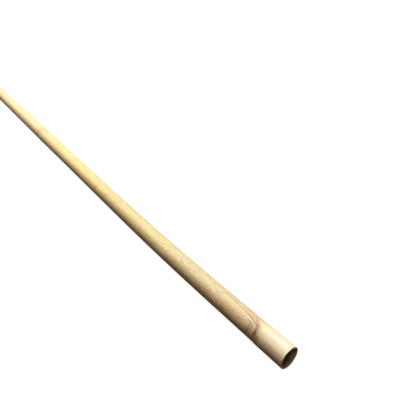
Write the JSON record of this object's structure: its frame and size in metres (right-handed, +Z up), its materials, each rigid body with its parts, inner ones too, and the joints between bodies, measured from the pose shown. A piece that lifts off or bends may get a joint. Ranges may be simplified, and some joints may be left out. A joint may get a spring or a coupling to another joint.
{
  "type": "bamboo cane",
  "caption": "Slim dry bamboo cane, slightly bent and tapered, hollow between its node rings, with both ends sawn off.",
  "frame": {"origin": "centre of the box of the cane in plan, on the ground that it lies on", "axes": "+X along the cane towards its thick cut end, +Z up from the ground, and the bend lies level with its outer side towards -Y"},
  "size_m": [0.9004, 0.0204, 0.0166],
  "materials": {
    "cane": "satin"
  },
  "bodies": {
    "root": {"cane": "cane"}
  },
  "joints": []
}
